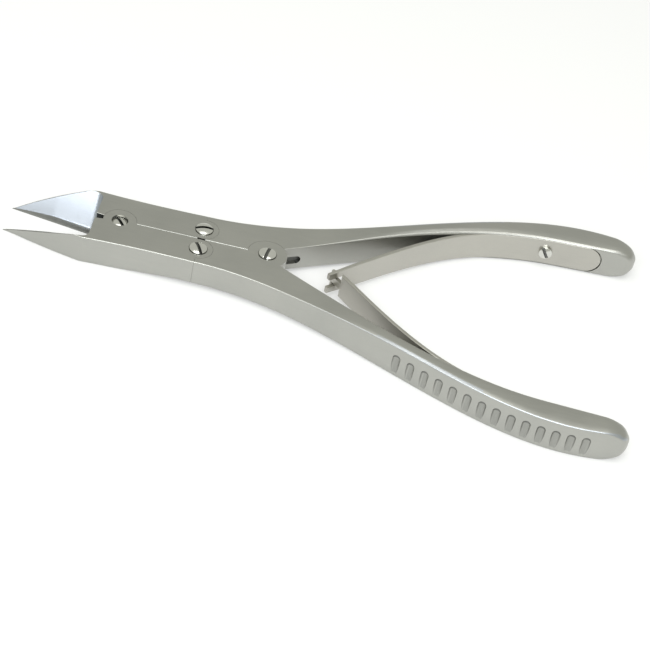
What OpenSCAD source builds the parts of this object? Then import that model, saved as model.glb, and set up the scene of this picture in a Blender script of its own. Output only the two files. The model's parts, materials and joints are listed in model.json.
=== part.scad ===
// Double-action cutting pliers: two jaws, two handles, four pivot screws and two leaf springs.
// The origin lies on the jaw pivot axis, in the plane the pliers rest on. +X runs along the tool
// towards the grips, +Y across it and +Z up. The pliers are drawn open. Units are millimetres.

/* [Linkage] */
// Distance from the jaw pivot to the handle pivot
pivot_span = 45; // [40:0.5:54]
// Distance of the link pivots behind the jaw pivot
link_x = 24.8; // [20.5:0.1:29.8]
// Distance of each link pivot from the centre line
link_y = 4.7; // [4.6:0.1:5.6]
// Radius of the round boss at the jaw pivot
jaw_boss_r = 5; // [4:0.1:6]
// Radius of the round boss at the handle pivot
handle_boss_r = 6; // [4.8:0.1:7.2]
// Radius of the round boss at each link pivot
link_boss_r = 4.4; // [3.6:0.1:4.5]
// Distance that the corners beside a link pivot are cut back
corner_relief = 1.2; // [1.1:0.1:2.4]
// Distance in front of the handle pivot where the handles' inner sides would meet
crotch_front = 2.7; // [1.5:0.1:3.5]
// Distance behind the handle pivot where the pockets in the inner sides end
pocket_end = 9.7; // [9:0.1:12]
// Height of the pockets
pocket_h = 2.8; // [2:0.1:3.4]
// Height of the pockets' middle over the resting plane
pocket_z = 4.6; // [4.2:0.1:5.6]
// Depth of the pockets
pocket_depth = 0.9; // [0.4:0.1:1.2]

/* [Jaws] */
// Length of the cutting edge line from the jaw pivot to the tip
jaw_reach = 34.2; // [28:0.1:42]
// Angle of each cutting edge from the centre line
jaw_angle = 8.9; // [7:0.1:11]
// Distance of the jaws' outer corner in front of the jaw pivot
jaw_corner_x = 8.9; // [8.2:0.1:12]
// Distance of the jaws' outer corner from the centre line
jaw_corner_y = 11.9; // [10:0.1:14.3]
// Bulge of the jaws' outer sides
jaw_bulge = 0.4; // [0.1:0.1:0.8]
// Slope of the ground bevel
bevel_angle = 45.4; // [38:0.1:52]
// Distance of the bevel's end in front of the jaw pivot
bevel_end = 7.3; // [6.8:0.1:8.1]
// Radius of the hollow where the bevel ends
bevel_hollow_r = 3; // [2:0.1:4]
// Height of the blunt land under the cutting edge
edge_land = 0.3; // [0.1:0.05:0.6]

/* [Bodies] */
// Height of the top face over the resting plane
body_top = 9.3; // [8.6:0.1:11.2]
// Height of the underside behind the jaws
body_bottom = 1.2; // [0.4:0.1:1.6]
// Height of the plane where the lapped halves meet
lap_z = 5.2; // [4.4:0.1:6.2]
// Half width of the tool at the link pivots
shoulder_y = 11.5; // [10.6:0.1:13.8]
// Length of the flat under the jaw pivot
flat_x = 2.4; // [1:0.1:4]
// Distance behind the jaw pivot where the underside is fully raised
ramp_x = 20; // [16:0.5:24]

/* [Grips] */
// Distance from the jaw pivot to the ends of the grips
grip_end_x = 157.2; // [140:0.1:189]
// Half width over the grips
grip_y = 46.3; // [41:0.1:55.6]
// Distance of the grips' widest point from their ends
grip_crest = 16.2; // [13:0.1:20]
// Distance behind the handle pivot where the handles' outer curve turns
waist_back = 40; // [33:0.5:48]
// Half width where the outer curve turns
waist_y = 28.6; // [26:0.1:31]
// Height of the grips' top face
grip_top = 10.6; // [9.4:0.1:12.8]
// Distance behind the handle pivot where the handles start to thicken
flare_start = 5; // [1:1:10]
// Distance behind the handle pivot where the grips reach their full height
flare_end = 50; // [42:1:60]
// Width of a grip at its widest point
grip_w = 9.4; // [8.4:0.1:10.4]
// Radius of the grips' ends
nose_r = 3.4; // [2.8:0.1:4.2]
// Distance of the rounded ends inside the widest point
nose_drop = 1.4; // [0.6:0.1:2]
// Flutes on each grip
flute_count = 14; // [6:1:14]
// Distance of the first flute behind the turn of the outer curve
flute_start = 3.5; // [2:0.5:8]
// Distance of the last flute from the end of the grip
flute_back = 12.2; // [10:0.1:16]
// Radius of a flute
flute_r = 1.5; // [1:0.1:1.8]
// Depth of a flute
flute_depth = 0.7; // [0.3:0.1:0.9]
// Height of a flute
flute_h = 6; // [4:0.1:8]

/* [Screws] */
// Radius of the plain shank of the pivot screws
shank_r = 1.9; // [1.5:0.05:2.2]
// Radius of the threaded end of the pivot screws
thread_r = 1.6; // [1.3:0.05:1.9]
// Radius of the heads at the link and handle pivots
head_r = 2.65; // [2.4:0.05:2.9]
// Radius of the head at the jaw pivot
jaw_head_r = 2.3; // [2.2:0.05:2.6]
// Height of the heads' straight wall
head_wall = 0.8; // [0.5:0.1:1]
// Height of the heads' dome
head_dome = 0.6; // [0.3:0.1:0.8]
// Depth of the recesses that the heads at the link and handle pivots sit in
recess_depth = 0.5; // [0.1:0.05:0.8]
// Depth of the recess that the head at the jaw pivot sits in
jaw_recess_depth = 1.6; // [0.8:0.1:2]
// Gap between a head and the wall of its recess
recess_gap = 0.25; // [0.15:0.05:0.4]
// Width of the driver slots
slot_w = 0.8; // [0.5:0.1:1]
// Depth of the driver slots
slot_depth = 0.7; // [0.4:0.1:0.9]
// Radius of the spring screws' heads
spring_head_r = 2.1; // [1.8:0.1:2.6]
// Height of the spring screws' heads
spring_head_h = 1.2; // [0.9:0.1:1.6]
// Radius of the spring screws' shanks
spring_shank_r = 1.1; // [0.8:0.1:1.4]
// Length of the spring screws' shanks inside the grip
spring_shank_l = 4; // [2.5:0.1:4.5]

/* [Springs] */
// Thickness of the leaf springs
leaf_t = 1.2; // [0.8:0.1:1.4]
// Width of the leaf springs on the grips
leaf_w = 9.2; // [8:0.1:9.4]
// Width of the leaf springs between their grips and their meeting ends
leaf_mid_w = 8.1; // [7:0.1:9]
// Width of the leaf springs at their meeting ends
leaf_tip_w = 7.2; // [6.4:0.1:8]
// Distance behind the handle pivot where the leaves cross
cross_back = 21.5; // [18:0.5:25]
// Distance from the end of a grip to where its leaf lies down in the seat
seat_back = 45.2; // [41:0.1:53]
// Distance of the leaves' rear ends from the ends of the grips
leaf_end = 11; // [9:0.5:14]
// Distance of the spring screws from the ends of the grips
spring_screw_back = 28.7; // [24:0.1:32]
// Width of the neck behind the tee
neck_w = 2.2; // [1.8:0.1:3]
// Width of the tee's crossbar
tee_w = 5.4; // [4.6:0.1:7]
// Clearance between the neck and the fork
fork_gap = 0.4; // [0.2:0.05:0.6]

/* [Clearances] */
// Gap between lapped faces
lap_gap = 0.1; // [0.06:0.02:0.2]
// Gap round each boss and along the centre line
side_gap = 0.12; // [0.08:0.02:0.24]
// Radial clearance of the pivot bores
bore_gap = 0.05; // [0.02:0.01:0.1]
// Extra radial clearance of the upper link pivot
open_gap = 0.05; // [0.02:0.01:0.1]

/* [Hidden] */
$fn = 72;
steps = 14;
far = 60;
satin = [0.62, 0.62, 0.59];
polished = [0.82, 0.82, 0.80];
spring_steel = [0.74, 0.73, 0.69];
half_slit = side_gap / 2;
jaw_pivot = [0, 0];
handle_pivot = [pivot_span, 0];
link_pivot = [link_x, link_y];
lap_low = lap_z - lap_gap / 2;
lap_high = lap_z + lap_gap / 2;
mid_z = grip_top / 2;
flare_x = pivot_span + flare_start;
flare_end_x = pivot_span + flare_end;
waist_x = pivot_span + waist_back;
cross_x = pivot_span + cross_back;
seat_x = grip_end_x - seat_back;
crest_x = grip_end_x - grip_crest;
nose_x = grip_end_x - nose_r;
nose_y = grip_y - nose_r - nose_drop;
nose_turn = 78;
leaf_end_x = grip_end_x - leaf_end;
spring_screw_x = grip_end_x - spring_screw_back;
waist_slope = 0.45;
crotch_slope = 0.55;
crotch_x = pivot_span - crotch_front;
inner_run = 10;
inner_slope = 0.52;
grip_slope = 0.06;
leaf_rise = 0.95;
leaf_lie = 0.28;
leaf_turn = [11.5, 11];
seat_room = 0.4;
seat_mouth = 6;
jaw_slopes = [-0.07, 0.03];
probe = 0.2;
tee_t = leaf_t;
fork_back = leaf_t / 2 + 0.9;
fork_front = leaf_t / 2 + 1.7;
tee_front = leaf_t / 2 + 0.5;
spring_head_dome = 0.4;
jaw_screw_turn = -50;
upper_link_turn = 12;
lower_link_turn = -62;
handle_screw_turn = 82;
spring_screw_turn = 60;

// Height at x of a smooth curve through p and q with the slopes sp and sq
function curve_y(p, q, sp, sq, x) =
    let (d = q[0] - p[0], t = (x - p[0]) / d)
    p[1] * (2 * pow(t, 3) - 3 * pow(t, 2) + 1) + q[1] * (3 * pow(t, 2) - 2 * pow(t, 3))
    + sp * d * (pow(t, 3) - 2 * pow(t, 2) + t) + sq * d * (pow(t, 3) - pow(t, 2));

// Points along that curve
function curve(p, q, sp, sq, n = steps) =
    [for (i = [0:n]) let (x = p[0] + (q[0] - p[0]) * i / n) [x, curve_y(p, q, sp, sq, x)]];

// Points round an arc from one angle to the other
function arc_points(centre, r, from, to, n = steps) =
    [for (i = [0:n]) let (a = from + (to - from) * i / n) centre + r * [cos(a), sin(a)]];

// Outline points of the handles' outer edge
shoulder = [link_x, shoulder_y];
waist = [waist_x, waist_y];
crest = [crest_x, grip_y];
function outer_y(x) =
    x < waist_x ? curve_y(shoulder, waist, 0, waist_slope, x) : curve_y(waist, crest, waist_slope, 0, x);

// Outline points of the handles' inner edge
inner_start = [waist_x - inner_run, crotch_slope * (waist_x - inner_run - crotch_x)];
inner_crest = [crest_x - inner_run, grip_y - grip_w];
function inner_y(x) =
    x < inner_start[0] ? crotch_slope * (x - crotch_x)
    : x < inner_crest[0] ? curve_y(inner_start, inner_crest, inner_slope, grip_slope, x)
    : curve_y(inner_crest, [nose_x, nose_y - nose_r], grip_slope, grip_slope, x);

// Centre line of a leaf spring
leaf_bend = [cross_x, 0] + leaf_turn;
function seat_y(x) = inner_y(x) + leaf_t / 2;
function leaf_y(x) =
    x < leaf_bend[0] ? curve_y([cross_x, 0], leaf_bend, leaf_rise, leaf_rise, x)
    : x < seat_x ? curve_y(leaf_bend, [seat_x, seat_y(seat_x)], leaf_rise, leaf_lie, x)
    : seat_y(x);
function leaf_slope(x) = (leaf_y(x + probe) - leaf_y(x - probe)) / (2 * probe);
function leaf_point(x, side) =
    let (a = atan(leaf_slope(x))) [x, leaf_y(x)] + side * [-sin(a), cos(a)];

// A plan outline drawn as a solid through the whole height
module slab() { translate([0, 0, -1]) linear_extrude(grip_top + 2) children(); }

// Side view of the tool, drawn through its whole width
module side_profile() {
    low = curve([flare_x, body_bottom], [flare_end_x, 0], 0, 0);
    high = curve([flare_end_x, grip_top], [flare_x, body_top], 0, 0);
    translate([0, far, 0]) rotate([90, 0, 0]) linear_extrude(2 * far)
        polygon(concat(
            [[-far, 0], [flat_x, 0], [ramp_x, body_bottom]], low,
            [[grip_end_x + 1, 0], [grip_end_x + 1, grip_top]], high, [[-far, body_top]]));
}

// The boss of one half and the room it needs in the other half
module boss(at, r, top) { layer(top) translate(at) circle(r); }
module boss_room(at, r, top) { layer(top, lap_gap) translate(at) circle(r + side_gap); }
module layer(top, grow = 0) {
    if (top) translate([0, 0, lap_high - grow]) linear_extrude(grip_top) children();
    if (!top) translate([0, 0, lap_low + grow - grip_top]) linear_extrude(grip_top) children();
}

// A hole from below the part up to its top face
module bore(at, r, from = -1, to = far) {
    translate([at[0], at[1], from]) cylinder(h = to - from, r = r);
}

// Height of a head's seat, just clear of the bottom of its recess
function head_seat(depth) = body_top - depth + lap_gap / 2;

// Bores of one lap joint: plain above the lap plane, threaded size below it
module pivot_bores(at, head, depth, top, extra = 0) {
    if (top) bore(at, shank_r + bore_gap + extra, lap_z);
    if (top) bore(at, head + recess_gap, body_top - depth);
    if (!top) bore(at, thread_r, -1, lap_z + 1);
}

// Plan of the upper jaw and its arm
module jaw_plan() {
    along = [-cos(jaw_angle), sin(jaw_angle)];
    out = [sin(jaw_angle), cos(jaw_angle)];
    tip = jaw_reach * along + half_slit * out;
    corner = [-jaw_corner_x, jaw_corner_y];
    mid = (tip + corner) / 2 + jaw_bulge * out;
    polygon(concat(
        [half_slit * out, tip, (tip + mid) / 2 + jaw_bulge * out / 4, mid],
        [(mid + corner) / 2 + jaw_bulge * out / 4],
        curve(corner, [link_x - half_slit, shoulder_y], jaw_slopes[0], jaw_slopes[1]),
        [[link_x - half_slit, link_y], [link_x - corner_relief, half_slit]]));
}

// What the grinding wheel takes off the top of the upper jaw
module bevel_cut() {
    rise = tan(bevel_angle);
    reach = (body_top + 1 - edge_land) / rise;
    difference() {
        rotate([0, 0, 180 - jaw_angle]) rotate([90, 0, 90]) linear_extrude(far)
            polygon([[2, edge_land], [0, edge_land], [-reach, body_top + 1], [2, body_top + 1]]);
        translate([-bevel_end, -far / 2, -1]) cube([far, far, far]);
        bevel_fillet(rise);
    }
}

// Steel left in the corner between the bevel and its end wall
module bevel_fillet(rise) {
    tilt = atan(rise * cos(jaw_angle));
    m = rise * sin(jaw_angle) * cos(tilt);
    r = bevel_hollow_r;
    centre = [-r, r * sqrt(1 + m * m) - m * r];
    round = arc_points(centre, r, 0, atan(m) - 90);
    translate([-bevel_end, bevel_end * tan(jaw_angle), edge_land])
        rotate([tilt, 0, 0]) translate([0, far / 2, 0]) rotate([90, 0, 0]) linear_extrude(far)
            polygon(concat([[1, -1], [1, centre[1]]], round, [[round[steps][0], -1]]));
}

module upper_half_jaw(top_boss) {
    difference() {
        intersection() {
            side_profile();
            union() {
                difference() {
                    slab() jaw_plan();
                    boss_room(jaw_pivot, jaw_boss_r, !top_boss);
                    boss_room(link_pivot, link_boss_r, false);
                    bevel_cut();
                }
                boss(jaw_pivot, jaw_boss_r, top_boss);
                boss(link_pivot, link_boss_r, true);
            }
        }
        pivot_bores(jaw_pivot, jaw_head_r, jaw_recess_depth, top_boss);
        pivot_bores(link_pivot, head_r, recess_depth, true, top_boss ? 0 : open_gap);
    }
}

module upper_jaw() { color(satin) upper_half_jaw(false); }
module lower_jaw() { color(satin) mirror([0, 1, 0]) upper_half_jaw(true); }

// Plan of the upper handle
module handle_plan() {
    nose = arc_points([nose_x, nose_y], nose_r, nose_turn, -90);
    inner_xs = [for (i = [steps * 2:-1:1]) crotch_x + (nose_x - crotch_x) * (i - 0.5) / steps / 2];
    polygon(concat(
        [[link_x + corner_relief, half_slit], [link_x + half_slit, link_y]],
        [[link_x + half_slit, shoulder_y]],
        [for (p = curve(shoulder, waist, 0, waist_slope)) if (p[0] > link_x + 1) p],
        [for (i = [1:steps]) let (x = waist_x + (crest_x - waist_x) * i / steps) [x, outer_y(x)]],
        [for (p = curve(crest, nose[0], 0, -1 / tan(nose_turn))) if (p[0] > crest_x && p[0] < nose[0][0]) p],
        nose,
        [for (x = inner_xs) [x, inner_y(x)]]));
}

// Pocket milled in the inner side behind the handle boss
module inner_pocket() {
    turn = atan(crotch_slope);
    last = (pocket_end + crotch_front) / cos(turn) - pocket_h / 2;
    translate([crotch_x, 0, pocket_z]) rotate([0, 0, turn]) rotate([-90, 0, 0]) {
        translate([0, -pocket_h / 2, 0]) cube([last, pocket_h, pocket_depth]);
        translate([last, 0, 0]) cylinder(h = pocket_depth, r = pocket_h / 2);
    }
}

// Room for a leaf spring on the inner side of a grip
module leaf_seat() {
    first = leaf_bend[0] + 1;
    last = leaf_end_x + seat_room;
    n = 2 * steps;
    translate([0, 0, mid_z - leaf_w / 2 - side_gap]) linear_extrude(leaf_w + 2 * side_gap)
        polygon(concat(
            [for (i = [0:n]) leaf_point(first + (last - first) * i / n, leaf_t / 2 + half_slit / 3)],
            [leaf_point(last, -seat_mouth), leaf_point(first, -seat_mouth)]));
}

// One flute: an upright groove with round ends
module flute(x) {
    a = atan((outer_y(x + probe) - outer_y(x - probe)) / (2 * probe));
    straight = flute_h / 2 - flute_r;
    translate([x, outer_y(x), mid_z]) rotate([0, 0, a]) translate([0, flute_r - flute_depth, 0]) {
        translate([0, 0, -straight]) cylinder(h = 2 * straight, r = flute_r, $fn = 24);
        translate([0, 0, straight]) sphere(flute_r, $fn = 24);
        translate([0, 0, -straight]) sphere(flute_r, $fn = 24);
    }
}

module flutes() {
    first = waist_x + flute_start;
    pitch = (grip_end_x - flute_back - first) / (flute_count - 1);
    for (i = [0:flute_count - 1]) flute(first + pitch * i);
}

// Places a spring screw with its axis square to the grip's inner side
module on_spring_screw_axis() {
    x = spring_screw_x;
    translate([x, leaf_y(x), mid_z]) rotate([0, 0, atan(leaf_slope(x))]) rotate([-90, 0, 0]) children();
}

module upper_half_handle(top_boss) {
    difference() {
        intersection() {
            side_profile();
            union() {
                difference() {
                    slab() handle_plan();
                    boss_room(handle_pivot, handle_boss_r, !top_boss);
                    boss_room(link_pivot, link_boss_r, true);
                }
                boss(handle_pivot, handle_boss_r, top_boss);
                boss(link_pivot, link_boss_r, false);
            }
        }
        pivot_bores(handle_pivot, head_r, recess_depth, top_boss);
        pivot_bores(link_pivot, head_r, recess_depth, false);
        inner_pocket();
        leaf_seat();
        flutes();
        on_spring_screw_axis() cylinder(h = leaf_t / 2 + spring_shank_l, r = spring_shank_r);
    }
}

module upper_handle() { color(satin) upper_half_handle(false); }
module lower_handle() { color(satin) mirror([0, 1, 0]) upper_half_handle(true); }

// Half outline of a head with a domed top, from the axis outwards and round to the seat
function head_outline(r, wall, dome, z) =
    let (ball = (r * r + dome * dome) / (2 * dome), rim = asin(r / ball))
    concat(arc_points([0, z + wall + dome - ball], ball, 90, 90 - rim, 8), [[r, z]]);

// Driver slot across a head whose top is at z
module driver_slot(r, z, turn) {
    translate([0, 0, z - slot_depth]) rotate([0, 0, turn])
        translate([-r - 1, -slot_w / 2, 0]) cube([2 * r + 2, slot_w, slot_depth + 1]);
}

// Pivot screw from the underside of its joint to its head
module pivot_screw(at, head, depth, bottom, turn) {
    seat = head_seat(depth);
    color(polished) translate([at[0], at[1], 0]) difference() {
        rotate_extrude() polygon(concat(
            head_outline(head, head_wall, head_dome, seat),
            [[shank_r, seat], [shank_r, lap_low], [thread_r, lap_low], [thread_r, bottom], [0, bottom]]));
        driver_slot(head, seat + head_wall + head_dome, turn);
    }
}

module jaw_pivot_screw() { pivot_screw(jaw_pivot, jaw_head_r, jaw_recess_depth, 0, jaw_screw_turn); }
module upper_link_screw() { pivot_screw(link_pivot, head_r, recess_depth, body_bottom, upper_link_turn); }
module lower_link_screw() {
    pivot_screw([link_x, -link_y], head_r, recess_depth, body_bottom, lower_link_turn);
}
module handle_pivot_screw() { pivot_screw(handle_pivot, head_r, recess_depth, body_bottom, handle_screw_turn); }

// Side view of a leaf spring: full width on the grip, narrower towards its tip
module leaf_widths() {
    full = leaf_w / 2;
    shoulder_x = cross_x + 6;
    half = concat(
        curve([cross_x - 3, leaf_tip_w / 2], [shoulder_x, leaf_mid_w / 2], 0, 0),
        curve([shoulder_x + 1, leaf_mid_w / 2], [seat_x - 4, full], 0, 0));
    last = len(half) - 1;
    translate([0, far, mid_z]) rotate([90, 0, 0]) linear_extrude(2 * far)
        polygon(concat(half, arc_points([leaf_end_x - full, 0], full, 90, -90),
            [for (i = [last:-1:0]) [half[i][0], -half[i][1]]]));
}

// Leaf of even thickness between two stations along the tool
module leaf(from, to) {
    n = 3 * steps;
    xs = [for (i = [0:n]) from + (to - from) * i / n];
    translate([0, 0, mid_z - far / 2]) linear_extrude(far)
        polygon(concat([for (x = xs) leaf_point(x, leaf_t / 2)],
            [for (i = [n:-1:0]) leaf_point(xs[i], -leaf_t / 2)]));
}

module spring_hole() {
    on_spring_screw_axis() translate([0, 0, -leaf_t])
        cylinder(h = 2 * leaf_t, r = spring_shank_r + side_gap);
}

// A box of height h across both leaves, measured along the tool from where they cross
module cross_box(from, to, h) {
    translate([cross_x + from, -far / 2, mid_z - h / 2]) cube([to - from, far, h]);
}

// The upper leaf ends in a fork, whose two prongs reach past the lower leaf's neck
module upper_spring() {
    color(spring_steel) difference() {
        intersection() {
            leaf(cross_x - fork_front, grip_end_x);
            leaf_widths();
        }
        spring_hole();
        cross_box(-fork_front - 1, fork_back, neck_w + 2 * fork_gap);
    }
}

// The lower leaf ends in a neck and a tee that lies in front of the fork
module lower_spring() {
    color(spring_steel) mirror([0, 1, 0]) {
        difference() {
            intersection() {
                leaf(cross_x - tee_front, grip_end_x);
                leaf_widths();
            }
            spring_hole();
            difference() {
                cross_box(-tee_front - 1, fork_back, far);
                cross_box(-tee_front - 2, fork_back + 1, neck_w);
            }
        }
        tee();
    }
}

module tee() {
    at = leaf_point(cross_x - tee_front, 0);
    translate([at[0] - tee_t / 2, at[1] - tee_t / 2, mid_z - tee_w / 2]) cube([tee_t, tee_t, tee_w]);
}

module spring_screw() {
    seat = leaf_t / 2 + lap_gap;
    inner = leaf_t / 2 + spring_shank_l;
    color(polished) on_spring_screw_axis() mirror([0, 0, 1]) difference() {
        rotate_extrude() polygon(concat(
            head_outline(spring_head_r, spring_head_h - spring_head_dome, spring_head_dome, seat),
            [[spring_shank_r, seat], [spring_shank_r, -inner], [0, -inner]]));
        driver_slot(spring_head_r, seat + spring_head_h, spring_screw_turn);
    }
}

module upper_spring_screw() { spring_screw(); }
module lower_spring_screw() { mirror([0, 1, 0]) spring_screw(); }

upper_jaw();
lower_jaw();
upper_handle();
lower_handle();
jaw_pivot_screw();
upper_link_screw();
lower_link_screw();
handle_pivot_screw();
upper_spring();
lower_spring();
upper_spring_screw();
lower_spring_screw();
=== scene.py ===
import json
import math

import bmesh
import bpy
import numpy as np
from mathutils import Matrix, Vector


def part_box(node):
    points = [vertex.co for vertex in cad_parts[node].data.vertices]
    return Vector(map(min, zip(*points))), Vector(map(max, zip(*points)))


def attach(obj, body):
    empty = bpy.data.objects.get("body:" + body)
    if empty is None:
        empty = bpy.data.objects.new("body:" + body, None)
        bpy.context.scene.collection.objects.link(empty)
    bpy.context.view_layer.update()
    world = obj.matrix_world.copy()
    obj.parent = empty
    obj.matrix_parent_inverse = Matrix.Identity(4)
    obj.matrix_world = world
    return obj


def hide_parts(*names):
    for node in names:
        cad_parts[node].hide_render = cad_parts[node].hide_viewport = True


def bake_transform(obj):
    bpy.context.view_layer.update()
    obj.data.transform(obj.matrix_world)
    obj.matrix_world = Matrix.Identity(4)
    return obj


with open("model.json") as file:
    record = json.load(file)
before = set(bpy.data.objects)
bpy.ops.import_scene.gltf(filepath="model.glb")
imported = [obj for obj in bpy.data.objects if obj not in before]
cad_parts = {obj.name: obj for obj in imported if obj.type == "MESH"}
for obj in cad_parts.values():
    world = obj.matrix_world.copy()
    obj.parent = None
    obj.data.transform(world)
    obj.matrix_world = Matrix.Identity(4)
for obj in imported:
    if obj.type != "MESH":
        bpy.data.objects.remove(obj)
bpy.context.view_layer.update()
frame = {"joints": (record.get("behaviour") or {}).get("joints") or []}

# Double-action cutting pliers. Pieces are drawn in millimetres and turned into metres when they are clothed.
mm = 0.001
deg = math.pi / 180
sharpAngle = 34 * deg  # folds above this are edges

# Places taken from the frame
joints = {j["name"]: j for j in frame["joints"]}


def jointAt(name):
    return np.array(joints[name]["pos_m"]) / mm


def nodeBox(name):
    low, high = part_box(name)
    return np.array(low) / mm, np.array(high) / mm


pivotSpan = jointAt("handle_pivot")[0]
linkX, linkY = jointAt("lower_link")[0], -jointAt("lower_link")[1]
gripEnd, gripY, gripTop = nodeBox("upper_handle")[1]
jawLow, jawHigh = nodeBox("upper_jaw")
leafEnd = nodeBox("upper_spring")[1][0]
bodyTop = jawHigh[2]
bodyBottom = nodeBox("handle_pivot_screw")[0][2]
screwBox = nodeBox("upper_spring_screw")
midZ = gripTop / 2
sideGap = 0.06  # between two pieces that pass each other
halfSlit = sideGap / 2


# Curves
# Height at x of the smooth curve through p and q with those end slopes
def curveY(p, q, slopeP, slopeQ, x):
    span = q[0] - p[0]
    t = (x - p[0]) / span
    return (p[1] * (2 * t**3 - 3 * t**2 + 1) + q[1] * (3 * t**2 - 2 * t**3)
            + slopeP * span * (t**3 - 2 * t**2 + t) + slopeQ * span * (t**3 - t**2))


# From 0 at start to 1 at end, with level ends
def smooth(x, start, end):
    t = min(max((x - start) / (end - start), 0), 1)
    return t * t * (3 - 2 * t)


def mix(a, b, t):
    return a + (b - a) * t


# count + 1 points round centre from one angle to the other, in degrees
def arc(centre, radius, start, end, count):
    return [(centre[0] + radius * math.cos(a * deg), centre[1] + radius * math.sin(a * deg))
            for a in (mix(start, end, i / count) for i in range(count + 1))]


# Meshes
def meshObject(name, verts, faces):
    mesh = bpy.data.meshes.new(name)
    mesh.from_pydata([tuple(v) for v in verts], [], faces)
    mesh.update()
    obj = bpy.data.objects.new(name, mesh)
    bpy.context.scene.collection.objects.link(obj)
    return obj


# A closed skin over loops of the same number of points, capped at both ends
def loft(name, loops):
    n = len(loops[0])
    verts = [p for loop in loops for p in loop]
    faces = [(i * n + j, i * n + (j + 1) % n, (i + 1) * n + (j + 1) % n, (i + 1) * n + j)
             for i in range(len(loops) - 1) for j in range(n)]
    faces.append(tuple(reversed(range(n))))
    faces.append(tuple(range(len(verts) - n, len(verts))))
    return meshObject(name, verts, faces)


# Turns every face outwards
def outward(obj):
    work = bmesh.new()
    work.from_mesh(obj.data)
    bmesh.ops.recalc_face_normals(work, faces=work.faces)
    work.to_mesh(obj.data)
    work.free()
    return obj


# An upright prism over an anticlockwise outline
def prism(name, outline, low, high):
    return loft(name, [[(x, y, low) for x, y in outline], [(x, y, high) for x, y in outline]])


# A closed skin turned round the upright axis, from radius and height pairs
def turned(name, profile, count):
    angles = np.linspace(0, 2 * math.pi, count, False)
    return loft(name, [[(r * math.cos(a), r * math.sin(a), z) for a in angles] for r, z in profile])


# An upright round disc
def disc(name, at, radius, low, high, count=96):
    return prism(name, arc(at, radius, 0, 360 - 360 / count, count - 1), low, high)


# Applies every modifier, so that obj holds a plain mesh
def baked(obj):
    graph = bpy.context.evaluated_depsgraph_get()
    mesh = bpy.data.meshes.new_from_object(obj.evaluated_get(graph))
    obj.modifiers.clear()
    old = obj.data
    obj.data = mesh
    bpy.data.meshes.remove(old)
    return obj


# Joins or cuts with another mesh, which is used up
def combine(obj, other, operation):
    step = obj.modifiers.new(operation, "BOOLEAN")
    step.object, step.operation, step.solver = other, operation, "MANIFOLD"
    baked(obj)
    bpy.data.objects.remove(other)
    return obj


def cut(obj, *others):
    for other in others:
        combine(obj, other, "DIFFERENCE")
    return obj


def add(obj, *others):
    for other in others:
        combine(obj, other, "UNION")
    return obj


# Turns a piece drawn for the upper side into one for the lower side
def mirrored(obj):
    obj.data.transform(Matrix.Scale(-1, 4, (0, 1, 0)))
    obj.data.flip_normals()
    return obj


# Smooth shading, except across the sharp edges
def shadeEdges(obj):
    obj.data.shade_smooth()
    obj.data.set_sharp_from_angle(angle=sharpAngle)


# Breaks the sharp edges and keeps the flats flat in shading
def finishEdges(obj, width):
    bevel = obj.modifiers.new("edges", "BEVEL")
    bevel.width = width
    bevel.segments = 2
    bevel.limit_method = "ANGLE"
    bevel.angle_limit = sharpAngle
    baked(obj)
    shadeEdges(obj)
    flat = obj.modifiers.new("flats", "WEIGHTED_NORMAL")
    flat.keep_sharp = True
    return baked(obj)


# Section of a forged bar
# Loop round a bar at x: flat top and bottom, a convex outer side and rounded edges
def barSection(x, yIn, yOut, zLow, zHigh, edgeOut, edgeIn, bulge, crown):
    width, height = max(yOut - yIn, 0.02), zHigh - zLow
    roundMost, bulgeMost, steps = 0.48, 0.2, 6
    edgeOut = min(edgeOut, width * roundMost, height * roundMost)
    edgeIn = min(edgeIn, width * roundMost, height * roundMost)
    bulge = min(bulge, width * bulgeMost)
    zMid = (zLow + zHigh) / 2
    curve = bulge / (height / 2) ** 2
    tilt = math.atan(2 * curve * (height / 2 - edgeOut * 0.75)) / deg  # lean of the side at its edge
    zEdge = height / 2 - edgeOut * (1 - math.sin(tilt * deg))
    yCentre = yOut - curve * zEdge**2 - edgeOut * math.cos(tilt * deg)
    points = arc((yCentre, zLow + edgeOut), edgeOut, -90, -tilt, steps)
    points += [(yOut - curve * z**2, zMid + z) for z in np.linspace(-zEdge, zEdge, 11)[1:-1]]
    points += arc((yCentre, zHigh - edgeOut), edgeOut, tilt, 90, steps)
    ys = np.linspace(yCentre, yIn + edgeIn, 8)[1:-1]
    points += [(y, zHigh + crown * (1 - (2 * (y - yIn) / width - 1) ** 2)) for y in ys]
    points += arc((yIn + edgeIn, zHigh - edgeIn), edgeIn, 90, 180, steps)
    points += [(yIn, z) for z in np.linspace(zHigh - edgeIn, zLow + edgeIn, 5)[1:-1]]
    points += arc((yIn + edgeIn, zLow + edgeIn), edgeIn, 180, 270, steps)
    points += [(y, zLow) for y in np.linspace(yIn + edgeIn, yCentre, 6)[1:-1]]
    return [(x, y, z) for y, z in points]


# Lap joints
lapRadius = {"jaw": 5.0, "handle": 6.0, "link": 4.4}
headRadius = {"jaw": 2.3, "link": 2.65, "handle": 2.65}
headDepth = {"jaw": 1.6, "link": 0.5, "handle": 0.5}
lapShape = {"height": 5.2, "gap": 0.1, "hair": 0.004, "shank": 1.9, "shankGap": 0.05, "headGap": 0.2,
            "thread": 1.6, "reach": 3}
lapZ, lapGap, reach = lapShape["height"], lapShape["gap"], lapShape["reach"]
jawPivot, linkPivot, handlePivot = (0, 0), (linkX, linkY), (pivotSpan, 0)


# A disc over or under the lap plane, a hair clear of the flats that it joins
def bossLayer(name, at, radius, top, zLow, zHigh, grow=0):
    hair = lapShape["hair"]
    if top:
        return disc(name, at, radius, lapZ + lapGap / 2 - grow + hair, zHigh - hair)
    return disc(name, at, radius, zLow + hair, lapZ - lapGap / 2 + grow - hair)


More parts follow.
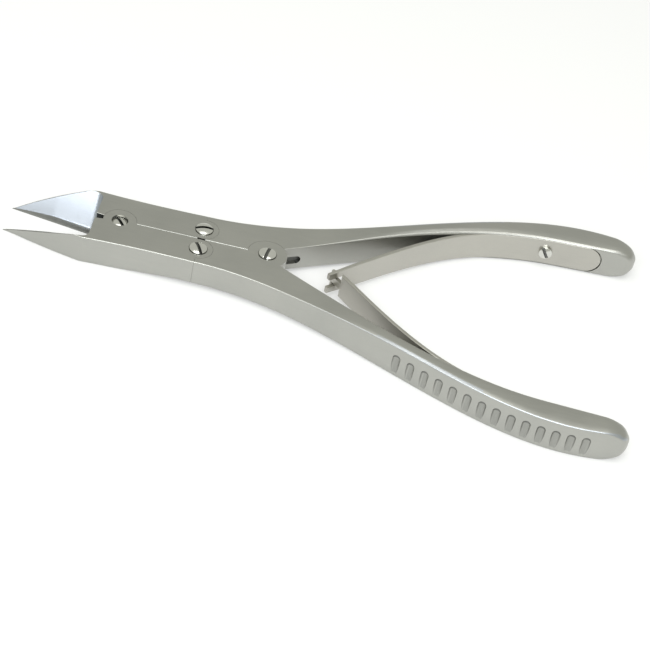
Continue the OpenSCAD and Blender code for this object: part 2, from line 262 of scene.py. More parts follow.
# Clears room for the other half's boss and adds this half's own
def lapJoint(obj, kind, at, top, zLow, zHigh):
    cut(obj, bossLayer("room", at, lapRadius[kind] + sideGap, not top, zLow - reach, zHigh + reach, lapGap))
    add(obj, bossLayer("boss", at, lapRadius[kind], top, zLow, zHigh))
    return obj


# A clear bore and a seat for the head in the upper half, a thread's bore in the lower one
def lapBores(obj, kind, at, top, zHigh):
    shape = lapShape
    if top:
        bore = disc("shank", at, shape["shank"] + shape["shankGap"], lapZ, zHigh + reach, 48)
        return cut(obj, bore, disc("ring", at, headRadius[kind] + shape["headGap"],
                                   zHigh - headDepth[kind], zHigh + reach, 64))
    return cut(obj, disc("thread", at, shape["thread"], -reach, lapZ + 1, 48))


# Handles
handleShape = {
    "waist": (85.0, 28.6), "waistSlope": 0.45, "crestBack": 16.2, "crotch": (-2.7, 0.55),
    "gripWidth": 9.4, "noseRadius": 3.4, "noseDrop": 1.4, "cornerRelief": 1.2, "innerRun": 10,
    "innerSlope": 0.52, "gripSlope": 0.06, "flare": (50.0, 95.0), "edge": (0.3, 0.42),
    "innerEdge": (0.2, 1.1), "bulge": (0.35, 0.6), "crown": 0.3, "taper": 7.5, "endPull": 4.3,
    "endEdge": (1.6, 1.2), "shoulderY": 11.5, "noseTurn": 78,
    "pocketEnd": 9.7, "pocketHeight": 2.8, "pocketZ": 4.6, "pocketDepth": 0.9, "breakEdge": 0.05,
}
crestX = gripEnd - handleShape["crestBack"]
noseX = gripEnd - handleShape["noseRadius"]
noseY = gripY - handleShape["noseRadius"] - handleShape["noseDrop"]
waist = handleShape["waist"]
crotchX = pivotSpan + handleShape["crotch"][0]
crotchSlope = handleShape["crotch"][1]
innerX = waist[0] - handleShape["innerRun"]
innerStart = (innerX, crotchSlope * (innerX - crotchX))
innerCrest = (crestX - handleShape["innerRun"], gripY - handleShape["gripWidth"])
shoulder = (linkX, handleShape["shoulderY"])
turnAngle = handleShape["noseTurn"]
turn = (noseX + handleShape["noseRadius"] * math.cos(turnAngle * deg),
        noseY + handleShape["noseRadius"] * math.sin(turnAngle * deg))


# Outer side of a handle, from the jaw to the grip's round end
def outerY(x):
    r = handleShape["noseRadius"]
    if x < waist[0]:
        return curveY(shoulder, waist, 0, handleShape["waistSlope"], x)
    if x < crestX:
        return curveY(waist, (crestX, gripY), handleShape["waistSlope"], 0, x)
    if x < turn[0]:
        return curveY((crestX, gripY), turn, 0, -1 / math.tan(turnAngle * deg), x)
    return noseY + math.sqrt(max(r**2 - (x - noseX) ** 2, 0))


# Inner side of a handle
def innerY(x):
    r = handleShape["noseRadius"]
    relief = linkX + handleShape["cornerRelief"]
    if x < relief:
        return mix(linkY, halfSlit, (x - linkX - halfSlit) / (relief - linkX - halfSlit))
    if x < innerStart[0]:
        return max(crotchSlope * (x - crotchX), halfSlit)
    if x < innerCrest[0]:
        return curveY(innerStart, innerCrest, handleShape["innerSlope"], handleShape["gripSlope"], x)
    if x < noseX:
        slope = handleShape["gripSlope"]
        return curveY(innerCrest, (noseX, noseY - r), slope, slope, x)
    return noseY - math.sqrt(max(r**2 - (x - noseX) ** 2, 0))


def handleSection(x):
    grip = smooth(x, *handleShape["flare"])
    run = handleShape["taper"]
    end = min(max((x - gripEnd + run) / run, 0), 1)
    pull = handleShape["endPull"] * (1 - math.sqrt(max(1 - end**2, 0)))
    edge = mix(*handleShape["edge"], grip) + handleShape["endEdge"][0] * end
    inner = mix(*handleShape["innerEdge"], grip) + handleShape["endEdge"][1] * end
    return barSection(
        x, innerY(x), outerY(x), mix(bodyBottom, 0, grip) + pull, mix(bodyTop, gripTop, grip) - pull,
        edge, inner, mix(*handleShape["bulge"], grip), handleShape["crown"] * grip * (1 - end))


# Centre line of a leaf spring
def leafY(x):
    rise, lie, seatX = leafShape["rise"], leafShape["lie"], leafShape["seatX"]
    if x < leafBend[0]:
        return curveY((leafShape["crossX"], 0), leafBend, rise, rise, x)
    if x < seatX:
        return curveY(leafBend, (seatX, seatY(seatX)), rise, lie, x)
    return seatY(x)


# Where a leaf lies on its grip
def seatY(x):
    return innerY(x) + leafShape["thickness"] / 2


# Slope of a curve at x
def slopeOf(curve, x):
    probe = 0.2
    return (curve(x + probe) - curve(x - probe)) / (2 * probe)


# A point at a distance to the side of a leaf's centre line
def leafPoint(x, side):
    a = math.atan(slopeOf(leafY, x))
    return x - side * math.sin(a), leafY(x) + side * math.cos(a)


leafShape = {
    "crossX": 66.5, "seatX": 112.0, "thickness": 1.2, "edge": 0.22, "gripWidth": 9.2, "midWidth": 8.1,
    "tipWidth": 7.2, "bend": (11.5, 11), "rise": 0.95, "lie": 0.28, "knee": 6, "tipRun": 3, "seatRun": 4,
    "seatRoom": 0.4, "seatMouth": 6, "seatGap": 0.04, "cutBack": 16, "breakEdge": 0.12, "blendBack": 9,
}
leafBend = (leafShape["crossX"] + leafShape["bend"][0], leafShape["bend"][1])
springScrewX = (screwBox[0][0] + screwBox[1][0]) / 2


# Copies placed by a node group
# Node group: a piece set on every point, turned and sized by the point's own values
def copyGroup():
    group = bpy.data.node_groups.new("placeCopies", "GeometryNodeTree")
    face = group.interface
    face.new_socket("Points", in_out="INPUT", socket_type="NodeSocketGeometry")
    face.new_socket("Piece", in_out="INPUT", socket_type="NodeSocketObject")
    face.new_socket("Size", in_out="INPUT", socket_type="NodeSocketFloat")
    face.new_socket("Material", in_out="INPUT", socket_type="NodeSocketMaterial")
    face.new_socket("Copies", in_out="OUTPUT", socket_type="NodeSocketGeometry")
    nodes, links = group.nodes, group.links
    start, end = nodes.new("NodeGroupInput"), nodes.new("NodeGroupOutput")
    piece = nodes.new("GeometryNodeObjectInfo")
    turnValue = nodes.new("GeometryNodeInputNamedAttribute")
    turnValue.data_type = "FLOAT_VECTOR"
    turnValue.inputs["Name"].default_value = "turn"
    toRotation = nodes.new("FunctionNodeEulerToRotation")
    place = nodes.new("GeometryNodeInstanceOnPoints")
    real = nodes.new("GeometryNodeRealizeInstances")
    paint = nodes.new("GeometryNodeSetMaterial")
    links.new(start.outputs["Points"], place.inputs["Points"])
    links.new(start.outputs["Piece"], piece.inputs["Object"])
    links.new(piece.outputs["Geometry"], place.inputs["Instance"])
    links.new(turnValue.outputs["Attribute"], toRotation.inputs[0])
    links.new(toRotation.outputs[0], place.inputs["Rotation"])
    links.new(start.outputs["Size"], place.inputs["Scale"])
    links.new(place.outputs[0], real.inputs[0])
    links.new(real.outputs[0], paint.inputs["Geometry"])
    links.new(start.outputs["Material"], paint.inputs["Material"])
    links.new(paint.outputs[0], end.inputs["Copies"])
    return group


copies = copyGroup()


# A plain mesh of piece copied onto the points, in millimetres, with those turns in radians
def placed(name, points, turns, piece, size=1.0, material=None):
    obj = meshObject(name, points, [])
    layer = obj.data.attributes.new("turn", "FLOAT_VECTOR", "POINT")
    layer.data.foreach_set("vector", np.array(turns, float).ravel())
    step = obj.modifiers.new("copies", "NODES")
    step.node_group = copies
    key = {item.name: item.identifier for item in copies.interface.items_tree if item.in_out == "INPUT"}
    step[key["Piece"]] = piece
    step[key["Size"]] = size
    if material:
        step[key["Material"]] = material
    obj.update_tag()
    bpy.context.view_layer.update()
    baked(obj)
    return obj


# Shader maths
# A value in a material's node tree, with ordinary arithmetic
class Flow:
    def __init__(self, tree, socket):
        self.tree, self.socket = tree, socket

    # Any other node, with its first output. Input names use _ for a space
    def make(self, kind, settings=None, **inputs):
        node = self.tree.nodes.new(kind)
        for name, value in (settings or {}).items():
            setattr(node, name, value)
        for name, value in inputs.items():
            self.feed(node.inputs[name.replace("_", " ")], value)
        return Flow(self.tree, node.outputs[0])

    # Gives a socket a value or a link
    def feed(self, socket, value):
        if isinstance(value, Flow):
            self.tree.links.new(value.socket, socket)
        else:
            socket.default_value = value

    def maths(self, operation, *values):
        node = self.tree.nodes.new("ShaderNodeMath")
        node.operation = operation
        for socket, value in zip(node.inputs, values):
            self.feed(socket, value)
        return Flow(self.tree, node.outputs[0])

    def vector(self, operation, *values):
        node = self.tree.nodes.new("ShaderNodeVectorMath")
        node.operation = operation
        for socket, value in zip(node.inputs, values):
            self.feed(socket, value)
        return Flow(self.tree, node.outputs[0])

    def __add__(self, other):
        return self.maths("ADD", self, other)

    def __radd__(self, other):
        return self.maths("ADD", other, self)

    def __sub__(self, other):
        return self.maths("SUBTRACT", self, other)

    def __rsub__(self, other):
        return self.maths("SUBTRACT", other, self)

    def __mul__(self, other):
        return self.maths("MULTIPLY", self, other)

    def __rmul__(self, other):
        return self.maths("MULTIPLY", other, self)

    def between(self, low, high):
        node = self.tree.nodes.new("ShaderNodeMapRange")
        self.feed(node.inputs["Value"], self)
        node.inputs["From Min"].default_value = low
        node.inputs["From Max"].default_value = high
        return Flow(self.tree, node.outputs[0])

    # Mixes two colours by this value
    def colour(self, first, second):
        node = self.tree.nodes.new("ShaderNodeMix")
        node.data_type = "RGBA"
        self.feed(node.inputs[0], self)
        self.feed(node.inputs[6], first if isinstance(first, Flow) else (*first, 1))
        self.feed(node.inputs[7], second if isinstance(second, Flow) else (*second, 1))
        return Flow(self.tree, node.outputs[2])


# The first colour is a bluish painted reflection for faces with a positive tone, the second a near-black
# painted shade for faces with a negative tone
steelShape = {"ground": (0.43, 0.465, 0.52), "paintedShade": (0.085, 0.088, 0.085), "lineSheen": 0.16,
              "cloudSheen": 0.10, "speckSheen": 0.05, "bump": 0.55}


# Bare steel: brushed along the tool, a little cloudy, with fine wear in the sheen
def steel(name, light, dark, rough, grain, grainDepth, polish):
    material = bpy.data.materials.new(name)
    material.use_nodes = True
    tree = material.node_tree
    shader = tree.nodes["Principled BSDF"]
    place = tree.nodes.new("ShaderNodeTexCoord")
    here = Flow(tree, place.outputs["Object"])
    along = here.vector("MULTIPLY", here, grain)
    lines = here.make("ShaderNodeTexNoise", Vector=along, Scale=1.0, Detail=5.0, Roughness=0.62)
    clouds = here.make("ShaderNodeTexNoise", Vector=here, Scale=55.0, Detail=3.0, Roughness=0.5)
    specks = here.make("ShaderNodeTexNoise", Vector=here, Scale=900.0, Detail=2.0, Roughness=0.6)
    # The face value tone paints light: above 0 it mixes in a bluish painted reflection and lowers roughness a
    # little, below 0 it mixes in painted shade and raises roughness
    paintedLightValue = here.make("ShaderNodeAttribute", {"attribute_name": "tone"})
    paintedLightValue.socket = paintedLightValue.socket.node.outputs["Fac"]
    ground, paintedShade = paintedLightValue.maths("MAXIMUM", paintedLightValue, 0.0), paintedLightValue.maths("MAXIMUM", paintedLightValue * -1.0, 0.0)
    tone = (lines * 0.35 + clouds * 0.65).between(0.32, 0.68).colour(dark, light)
    # Painted highlight and painted shade laid over the grain colour
    tone = paintedShade.colour(ground.colour(tone, steelShape["ground"]), steelShape["paintedShade"])
    here.feed(shader.inputs["Base Color"], tone)
    here.feed(shader.inputs["Roughness"], rough - ground * 0.04 + paintedShade * 0.1
              + (lines - 0.5) * (steelShape["lineSheen"] * polish) + (clouds - 0.5) * steelShape["cloudSheen"]
              + (specks - 0.5) * steelShape["speckSheen"])
    shader.inputs["Metallic"].default_value = 1.0
    bump = tree.nodes.new("ShaderNodeBump")
    bump.inputs["Strength"].default_value = steelShape["bump"]
    bump.inputs["Distance"].default_value = grainDepth * mm
    here.feed(bump.inputs["Height"], lines * 0.8 + specks * 0.2)
    tree.links.new(bump.outputs["Normal"], shader.inputs["Normal"])
    return material


# name, lighter and darker colour, roughness, grain along each axis, grain's depth, polish
satin = steel("satinSteel", (0.455, 0.455, 0.425), (0.405, 0.407, 0.382), 0.36, (160, 2600, 2600), 0.012, 1)
bright = steel("brightSteel", (0.70, 0.70, 0.66), (0.62, 0.62, 0.585), 0.16, (900, 900, 900), 0.003, 0.5)
spring = steel("springSteel", (0.515, 0.505, 0.46), (0.455, 0.445, 0.41), 0.33, (120, 1800, 3200), 0.008, 0.8)
print("materials ready")


# Turns a finished piece from millimetres to metres and gives it its material and body
def clothe(obj, material, slotName, body, *nodes):
    obj.data.transform(Matrix.Scale(mm, 4))
    obj.data.materials.clear()
    obj.data.materials.append(material)
    if nodes:
        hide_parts(*nodes)
    if body:
        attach(obj, body)
    return obj


# Flutes
fluteShape = {"count": 14, "radius": 1.4, "depth": 0.75, "height": 8.2, "start": 3.5, "endBack": 12.2,
              "lean": 3, "low": 1.2}


# An upright capsule round the origin
def capsule(name, radius, height, count=28):
    half = height / 2 - radius
    return turned(name, arc((0, -half), radius, -86, 0, 7) + arc((0, half), radius, 0, 86, 7), count)


# One capsule for each flute, along the outer side of the grip
def fluteCutters():
    shape = fluteShape
    first = waist[0] + shape["start"]
    last = gripEnd - shape["endBack"]
    points, turns = [], []
    for x in np.linspace(first, last, shape["count"]):
        a = math.atan(slopeOf(outerY, x))
        out = shape["radius"] - shape["depth"]
        points.append((x - out * math.sin(a), outerY(x) + out * math.cos(a), midZ - shape["low"]))
        turns.append((shape["lean"] * deg, 0, a))
    cutter = capsule("fluteTool", shape["radius"], shape["height"])
    made = placed("flutes", points, turns, cutter)
    bpy.data.objects.remove(cutter)
    return made


# Room for a leaf spring on the inner side of a grip
def seatCutter():
    first, last = leafShape["seatX"] - leafShape["cutBack"], leafEnd + leafShape["seatRoom"]
    half = leafShape["gripWidth"] / 2 + sideGap
    stations = [(x, half) for x in np.linspace(first, last - half, 50)]
    stations += [(last - half + half * math.sin(a * deg), half * math.cos(a * deg))
                 for a in np.linspace(0, 80, 14)[1:]]
    rings = []
    for x, h in stations:
        floor = leafPoint(x, leafShape["thickness"] / 2 + leafShape["seatGap"])
        mouth = leafPoint(x, -leafShape["seatMouth"])
        rings.append([(*mouth, midZ - h), (*mouth, midZ + h), (*floor, midZ + h), (*floor, midZ - h)])
    return loft("seat", rings)


# The short milled pocket in the inner side behind the boss, with a round end
def pocketCutter():
    shape = handleShape
    lean = math.atan(crotchSlope)
    radius = shape["pocketHeight"] / 2
    last = (shape["pocketEnd"] - shape["crotch"][0]) / math.cos(lean) - radius
    outline = [(0, -radius)] + arc((last, 0), radius, -90, 90, 16) + [(0, radius)]
    loops = []
    for depth in (-2, shape["pocketDepth"]):
        loops.append([(crotchX + u * math.cos(lean) - depth * math.sin(lean),
                       u * math.sin(lean) + depth * math.cos(lean), shape["pocketZ"] + v)
                      for u, v in outline])
    return outward(loft("pocket", loops))


# The upper side's handle; top says whether its boss at the handle pivot is the upper one
def makeHandle(name, top):
    r = handleShape["noseRadius"]
    xs = [linkX + halfSlit, linkX + 0.4, linkX + 0.8, linkX + handleShape["cornerRelief"]]
    xs += list(np.linspace(linkX + 1.8, noseX - 10, 150))
    xs += list(np.linspace(noseX - 9.4, noseX, 20))
    xs += [noseX + r * math.sin(a * deg) for a in np.linspace(5, 87, 18)]
    obj = outward(loft(name, [handleSection(x) for x in xs]))
    lapJoint(obj, "handle", handlePivot, top, bodyBottom, bodyTop)
    lapJoint(obj, "link", linkPivot, False, bodyBottom, bodyTop)
    lapBores(obj, "handle", handlePivot, top, bodyTop)
    lapBores(obj, "link", linkPivot, False, bodyTop)
    cut(obj, pocketCutter(), outward(seatCutter()), outward(fluteCutters()))
    return obj


# Painted light on the steel: above 0 is a bluish painted highlight on slightly glossier steel, below 0 is
# dark painted shade on rougher steel
paintedLightShape = {
    "flute": -0.66, "fluteZ": (1.6, 7.5), "fluteRoom": ((0.1, 1.6), 8.6),
    "pocket": -0.85, "pocketRoom": ((46, 56), (2.9, 6.3), (0.25, 1.6)),
    "gripEdge": 0.6, "edgeFaces": (0.4, 0.3, 1.2), "wedge": -0.9, "facet": -0.5, "backEdge": -0.35,
    "screwSlot": -0.9,
}


# Painted shade inside the flutes, strongest at their tops, and in the pocket; a painted highlight along the
# outer edge
def handlePaintedLight(x, y, z, up, out):
    grip = smooth(x, *handleShape["flare"])
    zLow, zHigh = mix(bodyBottom, 0, grip), mix(bodyTop, gripTop, grip)
    side = outerY(x) - mix(*handleShape["bulge"], grip) * ((2 * z - zLow - zHigh) / (zHigh - zLow)) ** 2
    first, last = waist[0] + fluteShape["start"] - 2, gripEnd - fluteShape["endBack"] + 2
    inside = side - y
    (insideFrom, insideTo), zMost = paintedLightShape["fluteRoom"]
    if first < x < last and insideFrom < inside < insideTo and z < zMost:
        return paintedLightShape["flute"] * smooth(z, *paintedLightShape["fluteZ"])
    line = y - crotchSlope * (x - crotchX)
    (xFrom, xTo), (zFrom, zTo), (lineFrom, lineTo) = paintedLightShape["pocketRoom"]
    if xFrom < x < xTo and zFrom < z < zTo and lineFrom < line < lineTo:
        return paintedLightShape["pocket"]
    upLeast, outLeast, edgeRoom = paintedLightShape["edgeFaces"]
    if x > linkX + 1 and inside < edgeRoom and up > upLeast and out > outLeast:
        return paintedLightShape["gripEdge"] * grip
    return 0


# Stores a value on each face: 1 for a full painted highlight, -1 for full painted shade
def shade(obj, rule):
    layer = obj.data.attributes.new("tone", "FLOAT", "FACE")
    layer.data.foreach_set("value", [
        rule(f.center.x, abs(f.center.y), f.center.z, f.normal.z, f.normal.y * (1 if f.center.y > 0 else -1))
        for f in obj.data.polygons])
    return obj


upperHandle = makeHandle("upperHandle", False)
shade(finishEdges(upperHandle, handleShape["breakEdge"]), handlePaintedLight)
clothe(upperHandle, satin, "satin_steel", "upper_handle", "upper_handle")
lowerHandle = mirrored(makeHandle("lowerHandle", True))
shade(finishEdges(lowerHandle, handleShape["breakEdge"]), handlePaintedLight)
clothe(lowerHandle, satin, "satin_steel", "lower_handle", "lower_handle")
print("handles", len(upperHandle.data.polygons))

# Jaws
jawShape = {
    "angle": 8.9, "corner": (-8.9, 11.9), "cornerSlopes": (-0.07, 0.03), "bulge": 0.4, "sideBulge": 0.35,
    "bevelEnd": 7.3, "bevelFillet": 1.8, "bevelWidth": 9.17, "backEdge": 0.42, "land": 0.25, "edgeWidth": 0.6,
    "edgeHeight": 1.9, "edgeFade": 13, "hollow": 0.3, "flatX": 2.4, "rampX": 20.0, "edge": 0.3,
    "innerEdge": 0.16, "cuttingEdge": 0.02, "cornerRelief": 1.2, "breakEdge": 0.04,
}
jawAngle = jawShape["angle"] * deg
jawTip = (jawLow[0], -jawLow[0] * math.tan(jawAngle) + 0.1)


# Outer side of a jaw, from the tip to the handle
def jawOuterY(x):
    corner = jawShape["corner"]
    if x > corner[0]:
        return curveY(corner, shoulder, *jawShape["cornerSlopes"], x)
    t = (x - jawTip[0]) / (corner[0] - jawTip[0])
    return mix(jawTip[1], corner[1], t) + jawShape["bulge"] * 4 * t * (1 - t)


# Inner side of a jaw, which opens ahead of the pivot
def jawInnerY(x):
    relief = linkX - jawShape["cornerRelief"]
    if x > relief:
        return mix(halfSlit, linkY, (x - relief) / (linkX - halfSlit - relief))
    if x > 0:
        return halfSlit
    return -x * math.tan(jawAngle) + halfSlit / math.cos(jawAngle)


def jawSection(x):
    low = bodyBottom * min(max((x - jawShape["flatX"]) / (jawShape["rampX"] - jawShape["flatX"]), 0), 1)
    inner = jawShape["innerEdge"] if x > -jawShape["bevelEnd"] else jawShape["cuttingEdge"]
    return barSection(x, jawInnerY(x), jawOuterY(x), low, bodyTop, jawShape["edge"], inner,
                      jawShape["sideBulge"], 0)


# Width and height at x of the steep facet along the cutting edge, which fades out at the tip
def bevelEdge(x):
    grow = min(max((x - jawTip[0]) / jawShape["edgeFade"], 0.03), 1) ** 0.7
    return jawShape["edgeWidth"] * grow, mix(jawShape["land"], jawShape["edgeHeight"], grow)


# Distance from the cutting edge's line, of a point and of the jaw's back
def edgeDistance(x, y):
    return y * math.cos(jawAngle) + x * math.sin(jawAngle)


def backDistance(x):
    return edgeDistance(x, jawOuterY(min(x, -jawShape["bevelEnd"])))


# Height of the ground surface at x, at a distance d from the cutting edge line
def bevelHeight(x, d):
    shape = jawShape
    width, height = bevelEdge(x)
    if d <= 0:
        return shape["land"]
    if d < width:
        return mix(shape["land"], height, d / width)
    t = (d - width) / (shape["bevelWidth"] - width)
    drop = shape["backEdge"] * max(1 - max(backDistance(x) - d, 0) / shape["backEdge"], 0)
    dish = shape["hollow"] * 4 * t * (1 - t) * (t < 1)
    return max(mix(height, bodyTop, t) - dish - drop, shape["land"])


# What the wheel takes off: everything above the hollow bevel, with a rounded end wall
def grindingCutter():
    shape = jawShape
    r = shape["bevelFillet"]
    stations = [(x, 0) for x in np.linspace(-40, -shape["bevelEnd"] - r, 60)]
    stations += [(-shape["bevelEnd"] - r + r * math.sin(a * deg), r * (1 - math.cos(a * deg)))
                 for a in np.linspace(6, 90, 14)]
    roof = bodyTop + 4
    rings = []
    for x, lift in stations:
        width, back = bevelEdge(x)[0], backDistance(x)
        inner = max(back - shape["backEdge"], width + 0.01)
        steps = [-3, -0.5, 0, width / 2] + list(np.linspace(width, inner, 24))
        steps += [max(back, inner + 0.01), 12.5]
        ground = [(x, (d - x * math.sin(jawAngle)) / math.cos(jawAngle),
                   min(bevelHeight(x, d) + lift, roof - 0.5)) for d in steps]
        rings.append([(p[0], p[1], roof) for p in ground] + ground[::-1])
    return outward(loft("grinding", rings))


# The upper side's jaw; top says whether its boss at the jaw pivot is the upper one
def makeJaw(name, top):
    corner = jawShape["corner"][0]
    xs = list(np.linspace(jawTip[0] + 0.02, jawTip[0] + 2, 8))
    xs += list(np.linspace(jawTip[0] + 2.6, corner - 1, 34))
    xs += [corner] + list(np.linspace(corner + 0.4, linkX - 1.6, 50))
    xs += [linkX - jawShape["cornerRelief"], linkX - 0.9, linkX - 0.5, linkX - halfSlit]
    obj = outward(loft(name, [jawSection(x) for x in xs]))
    cut(obj, grindingCutter())
    lapJoint(obj, "jaw", jawPivot, top, 0, bodyTop)
    lapJoint(obj, "link", linkPivot, True, bodyBottom, bodyTop)
    lapBores(obj, "jaw", jawPivot, top, bodyTop)
    lapBores(obj, "link", linkPivot, True, bodyTop)
    return obj


# A painted reflection on the ground bevel, a painted dark reflection on the facet along its cutting edge,
# painted shade along its back edge and in the wedge slot
def jawPaintedLight(x, y, z, up, out):
    d, bevelEnd = edgeDistance(x, y), -jawShape["bevelEnd"]
    if bevelEnd < x < -3 and d < 0.3 and 0.2 < z < bodyTop - 0.1:
        return paintedLightShape["wedge"]
    if x > bevelEnd or z > bodyTop - 0.1:
        return 0
    if d < bevelEdge(x)[0]:
        return paintedLightShape["facet"] if z > 0.1 else 0
    if d > backDistance(x) - jawShape["backEdge"] + 0.03:
        return paintedLightShape["backEdge"] if up > 0.3 else 0
    return 1 if z > min(bevelHeight(x, d), bodyTop) - 0.1 else 0


upperJaw = makeJaw("upperJaw", False)
shade(finishEdges(upperJaw, jawShape["breakEdge"]), jawPaintedLight)
clothe(upperJaw, satin, "satin_steel", "upper_jaw", "upper_jaw")
lowerJaw = mirrored(makeJaw("lowerJaw", True))
shade(finishEdges(lowerJaw, jawShape["breakEdge"]), jawPaintedLight)
clothe(lowerJaw, satin, "satin_steel", "lower_jaw", "lower_jaw")
print("jaws", len(upperJaw.data.polygons))

# Leaf springs
# Narrow at the tip, wider along the grip, with a round end
def leafHalfWidth(x):
    shape = leafShape
    knee = shape["crossX"] + shape["knee"]
    full = shape["gripWidth"] / 2
    if x > leafEnd - full:
        return math.sqrt(max(full**2 - (x - leafEnd + full) ** 2, 0.01))
    if x < knee:
        tip = shape["crossX"] - shape["tipRun"]
        return mix(shape["tipWidth"], shape["midWidth"], smooth(x, tip, knee)) / 2
    return mix(shape["midWidth"], shape["gripWidth"], smooth(x, knee, shape["seatX"] - shape["seatRun"])) / 2


def leafSection(x):
    half = leafHalfWidth(x)
    t = leafShape["thickness"] / 2
    e = min(leafShape["edge"], half * 0.5)
    loop = []
    for sideZ, sideT, start in ((1, 1, 0), (-1, 1, 90), (-1, -1, 180), (1, -1, 270)):
        for a in np.linspace(start, start + 90, 4):
            z = sideZ * (half - e) + e * math.cos(a * deg)
            s = sideT * (t - e) + e * math.sin(a * deg)
            px, py = leafPoint(x, s)
            loop.append((px, py, midZ + z))
    return loop


# The upper side's leaf, from x = start to its round end
def makeLeaf(name, start):
    full = leafShape["gripWidth"] / 2
    xs = list(np.linspace(start, leafEnd - full, 110))
    xs += [leafEnd - full + full * math.sin(a * deg) for a in np.linspace(5, 88, 16)]
    return outward(loft(name, [leafSection(x) for x in xs]))


# A cutter across the leaves' tips, from start to end along x and from low to high
def crossBox(name, start, end, low, high):
    first, last, far = leafShape["crossX"] + start, leafShape["crossX"] + end, 8
    outline = [(first, -far), (last, -far), (last, far), (first, far)]
    return outward(prism(name, outline, midZ + low, midZ + high))


forkShape = {"front": 2.3, "back": 1.65, "slot": 3.0, "neck": 2.2, "teeFront": 1.1, "teeWidth": 5.4,
             "teeRadius": 0.6}
slotHalf, neckHalf, teeHalf = forkShape["slot"] / 2, forkShape["neck"] / 2, forkShape["teeWidth"] / 2

upperLeaf = makeLeaf("upperLeaf", leafShape["crossX"] - forkShape["front"])
cut(upperLeaf, crossBox("slot", -forkShape["front"] - 1, forkShape["back"], -slotHalf, slotHalf))
finishEdges(upperLeaf, leafShape["breakEdge"])
lowerLeaf = makeLeaf("lowerLeaf", leafShape["crossX"] - forkShape["teeFront"])
for low, high in ((neckHalf, 8), (-8, -neckHalf)):
    cut(lowerLeaf, crossBox("neckSide", -4, forkShape["back"], low, high))
teeAt = leafPoint(leafShape["crossX"] - forkShape["teeFront"], 0)
add(lowerLeaf, outward(disc("tee", teeAt, forkShape["teeRadius"], midZ - teeHalf, midZ + teeHalf, 24)))
mirrored(lowerLeaf)
finishEdges(lowerLeaf, leafShape["breakEdge"])
hingeX, hingeY = jointAt("upper_leaf_bend")[:2]
bendEnd = leafPoint(leafShape["crossX"] + leafShape["blendBack"], 0)
for leaf, node, side, handle in ((upperLeaf, "upper_spring", 1, "upper_handle"),
                                 (lowerLeaf, "lower_spring", -1, "lower_handle")):
    clothe(leaf, spring, "spring_steel", None, node)
    side * hingeY * mm
    bendEnd[0] * mm
    side * bendEnd[1] * mm
    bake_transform(leaf)
print("springs", len(upperLeaf.data.polygons))

# Screws
screwShape = {"wall": 0.8, "dome": 0.6, "slotWidth": 0.95, "slotDepth": 1.0, "round": 0.14, "breakEdge": 0.06,
              "springHead": 2.1, "springShank": 1.1, "springReach": 3.8, "springTurn": 60}


# A slotted screw with its seat height above its own origin
def makeScrew(name, head, seat, shank, lapAt, thread, bottom):
    shape = screwShape
    ball = (head**2 + shape["dome"] ** 2) / (2 * shape["dome"])
    rim = math.asin((head - shape["round"]) / ball) / deg
    top = seat + shape["wall"] + shape["dome"]
    profile = arc((0, top - ball), ball, 89.5, 90 - rim, 12)
    edge = profile[-1][1] - shape["round"]
    profile += arc((head - shape["round"], edge), shape["round"], 60, 0, 4)
    profile += [(head, seat + 0.1), (head - 0.1, seat), (shank, seat)]
    profile += [(shank, lapAt), (thread, lapAt), (thread, bottom + 0.25), (thread - 0.25, bottom)]
    obj = outward(turned(name, profile, 64))
    half, far = shape["slotWidth"] / 2, 9
    slot = [(-far, -half), (far, -half), (far, half), (-far, half)]
    cut(obj, prism("slot", slot, top - shape["slotDepth"], top + 2))
    finishEdges(obj, shape["breakEdge"])

    # Painted shade inside the screw's slot
    def slotPaintedShade(x, y, z, up, out):
        surface = top - ball + math.sqrt(ball**2 - min(x * x + y * y, head**2))
        inSlot = y < half + 0.02 and seat < z < surface - 0.1 and math.hypot(x, y) < head - 0.02
        return paintedLightShape["screwSlot"] if inSlot else 0

    return shade(obj, slotPaintedShade)


# Each pivot screw's piece, the body it rides on and the turn of its slot
pivotScrews = {
    "jaw_pivot_screw": ("jawPivotScrew", "upper_jaw", -50),
    "upper_link_screw": ("upperLinkScrew", "upper_handle", 12),
    "lower_link_screw": ("lowerLinkScrew", "lower_handle", -62),
    "handle_pivot_screw": ("handlePivotScrew", "upper_handle", 82),
}
for node, (name, body, slotTurn) in pivotScrews.items():
    low, high = nodeBox(node)
    centre = (low + high) / 2
    head = (high[0] - low[0]) / 2
    seat = high[2] - screwShape["wall"] - screwShape["dome"]
    tool = makeScrew(name + "Tool", head, seat, lapShape["shank"], lapZ, lapShape["thread"], low[2])
    obj = placed(name, [(centre[0], centre[1], 0)], [(0, 0, slotTurn * deg)], tool, 1.0, bright)
    bpy.data.objects.remove(tool)
    shadeEdges(obj)
    clothe(obj, bright, "polished_steel", body, node)

seat = leafShape["thickness"] / 2 + leafShape["seatGap"]
shank = screwShape["springShank"]
bottom = -leafShape["thickness"] / 2 - screwShape["springReach"]
turns = [(90 * deg, screwShape["springTurn"] * deg, math.atan(slopeOf(leafY, springScrewX)))]
for side, name, body, node in ((1, "upperSpringScrew", "upper_handle", "upper_spring_screw"),
                               (-1, "lowerSpringScrew", "lower_handle", "lower_spring_screw")):
    tool = makeScrew(name + "Tool", screwShape["springHead"], seat, shank, 0, shank, bottom)
    obj = placed(name, [(springScrewX, leafY(springScrewX), midZ)], turns, tool, 1.0, bright)
    bpy.data.objects.remove(tool)
    if side < 0:
        mirrored(obj)
    shadeEdges(obj)
    clothe(obj, bright, "polished_steel", body, node)
print("screws ready")

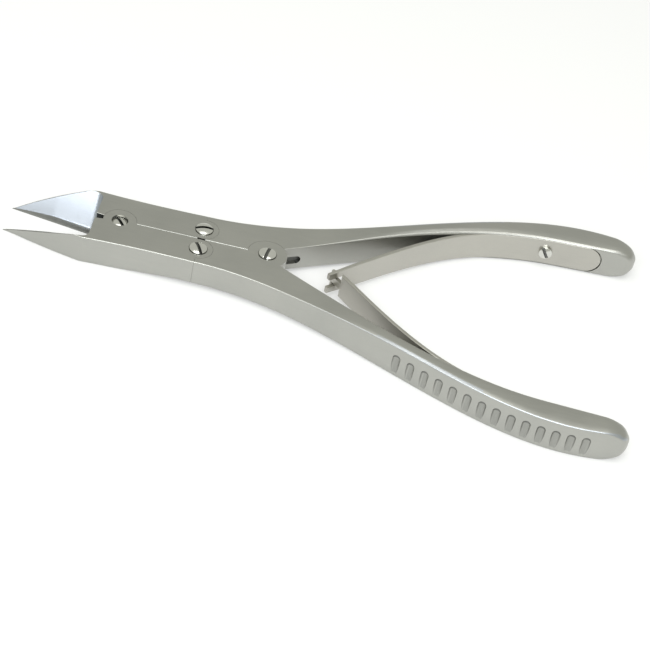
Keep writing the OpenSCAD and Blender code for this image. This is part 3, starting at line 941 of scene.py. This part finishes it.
# Room, light and camera
def lamp(name, at, size, power, colour, target):
    data = bpy.data.lights.new(name, "AREA")
    data.shape, data.size, data.size_y = "RECTANGLE", size[0] * mm, size[1] * mm
    data.energy, data.color = power, colour
    obj = bpy.data.objects.new(name, data)
    obj.location = Vector(at) * mm
    obj.rotation_euler = (Vector(target) - Vector(at)).to_track_quat("-Z", "Y").to_euler()
    bpy.context.scene.collection.objects.link(obj)
    return obj


floor = meshObject("floor", [(-3, -3, 0), (3, -3, 0), (3, 3, 0), (-3, 3, 0)], [(0, 1, 2, 3)])
paperShape = {"colour": (0.56, 0.56, 0.555, 1), "rough": 0.9, "gloss": 0.1, "glow": 0.3}
paper = bpy.data.materials.new("paper")
paper.use_nodes = True
paperShader = paper.node_tree.nodes["Principled BSDF"]
paperShader.inputs["Base Color"].default_value = paperShape["colour"]
paperShader.inputs["Roughness"].default_value = paperShape["rough"]
paperShader.inputs["Specular IOR Level"].default_value = paperShape["gloss"]
paperShader.inputs["Emission Color"].default_value = (1, 1, 1, 1)
paperShader.inputs["Emission Strength"].default_value = paperShape["glow"]
floor.data.materials.append(paper)

world = bpy.data.worlds.new("studio")
bpy.context.scene.world = world
world.use_nodes = True
sky = world.node_tree.nodes["Background"]
sky.inputs["Color"].default_value = (0.86, 0.87, 0.80, 1)
sky.inputs["Strength"].default_value = 0.72

# Each lamp's place, size, power, colour and the point it faces
lamps = {
    "overhead": ((60, -60, 900), (900, 500), 3.4, (1, 1, 0.99), (60, 0, 0)),
    "front": ((40, -620, 560), (760, 260), 4.2, (0.92, 0.96, 1), (60, 0, 0)),
    "strip": ((70, -330, 520), (1000, 40), 0.6, (1, 1, 1), (70, -30, 5)),
}
for name, values in lamps.items():
    lamp(name, *values)

cameraShape = {"target": (66.4, -25.5, bodyTop), "distance": 533.5, "elevation": 41, "roll": 12.92,
               "lens": 102.9}
lens = bpy.data.cameras.new("camera")
lens.lens, lens.sensor_width = cameraShape["lens"], 36
lens.clip_start, lens.clip_end = 0.01, 20
camera = bpy.data.objects.new("camera", lens)
turnMatrix = Matrix.Rotation((90 - cameraShape["elevation"]) * deg, 4, "X") @ Matrix.Rotation(
    cameraShape["roll"] * deg, 4, "Z")
offset = turnMatrix @ Vector((0, 0, cameraShape["distance"]))
camera.matrix_world = Matrix.Translation((Vector(cameraShape["target"]) + offset) * mm) @ turnMatrix
bpy.context.scene.collection.objects.link(camera)
bpy.context.scene.camera = camera
bpy.context.scene.view_settings.view_transform = "Standard"
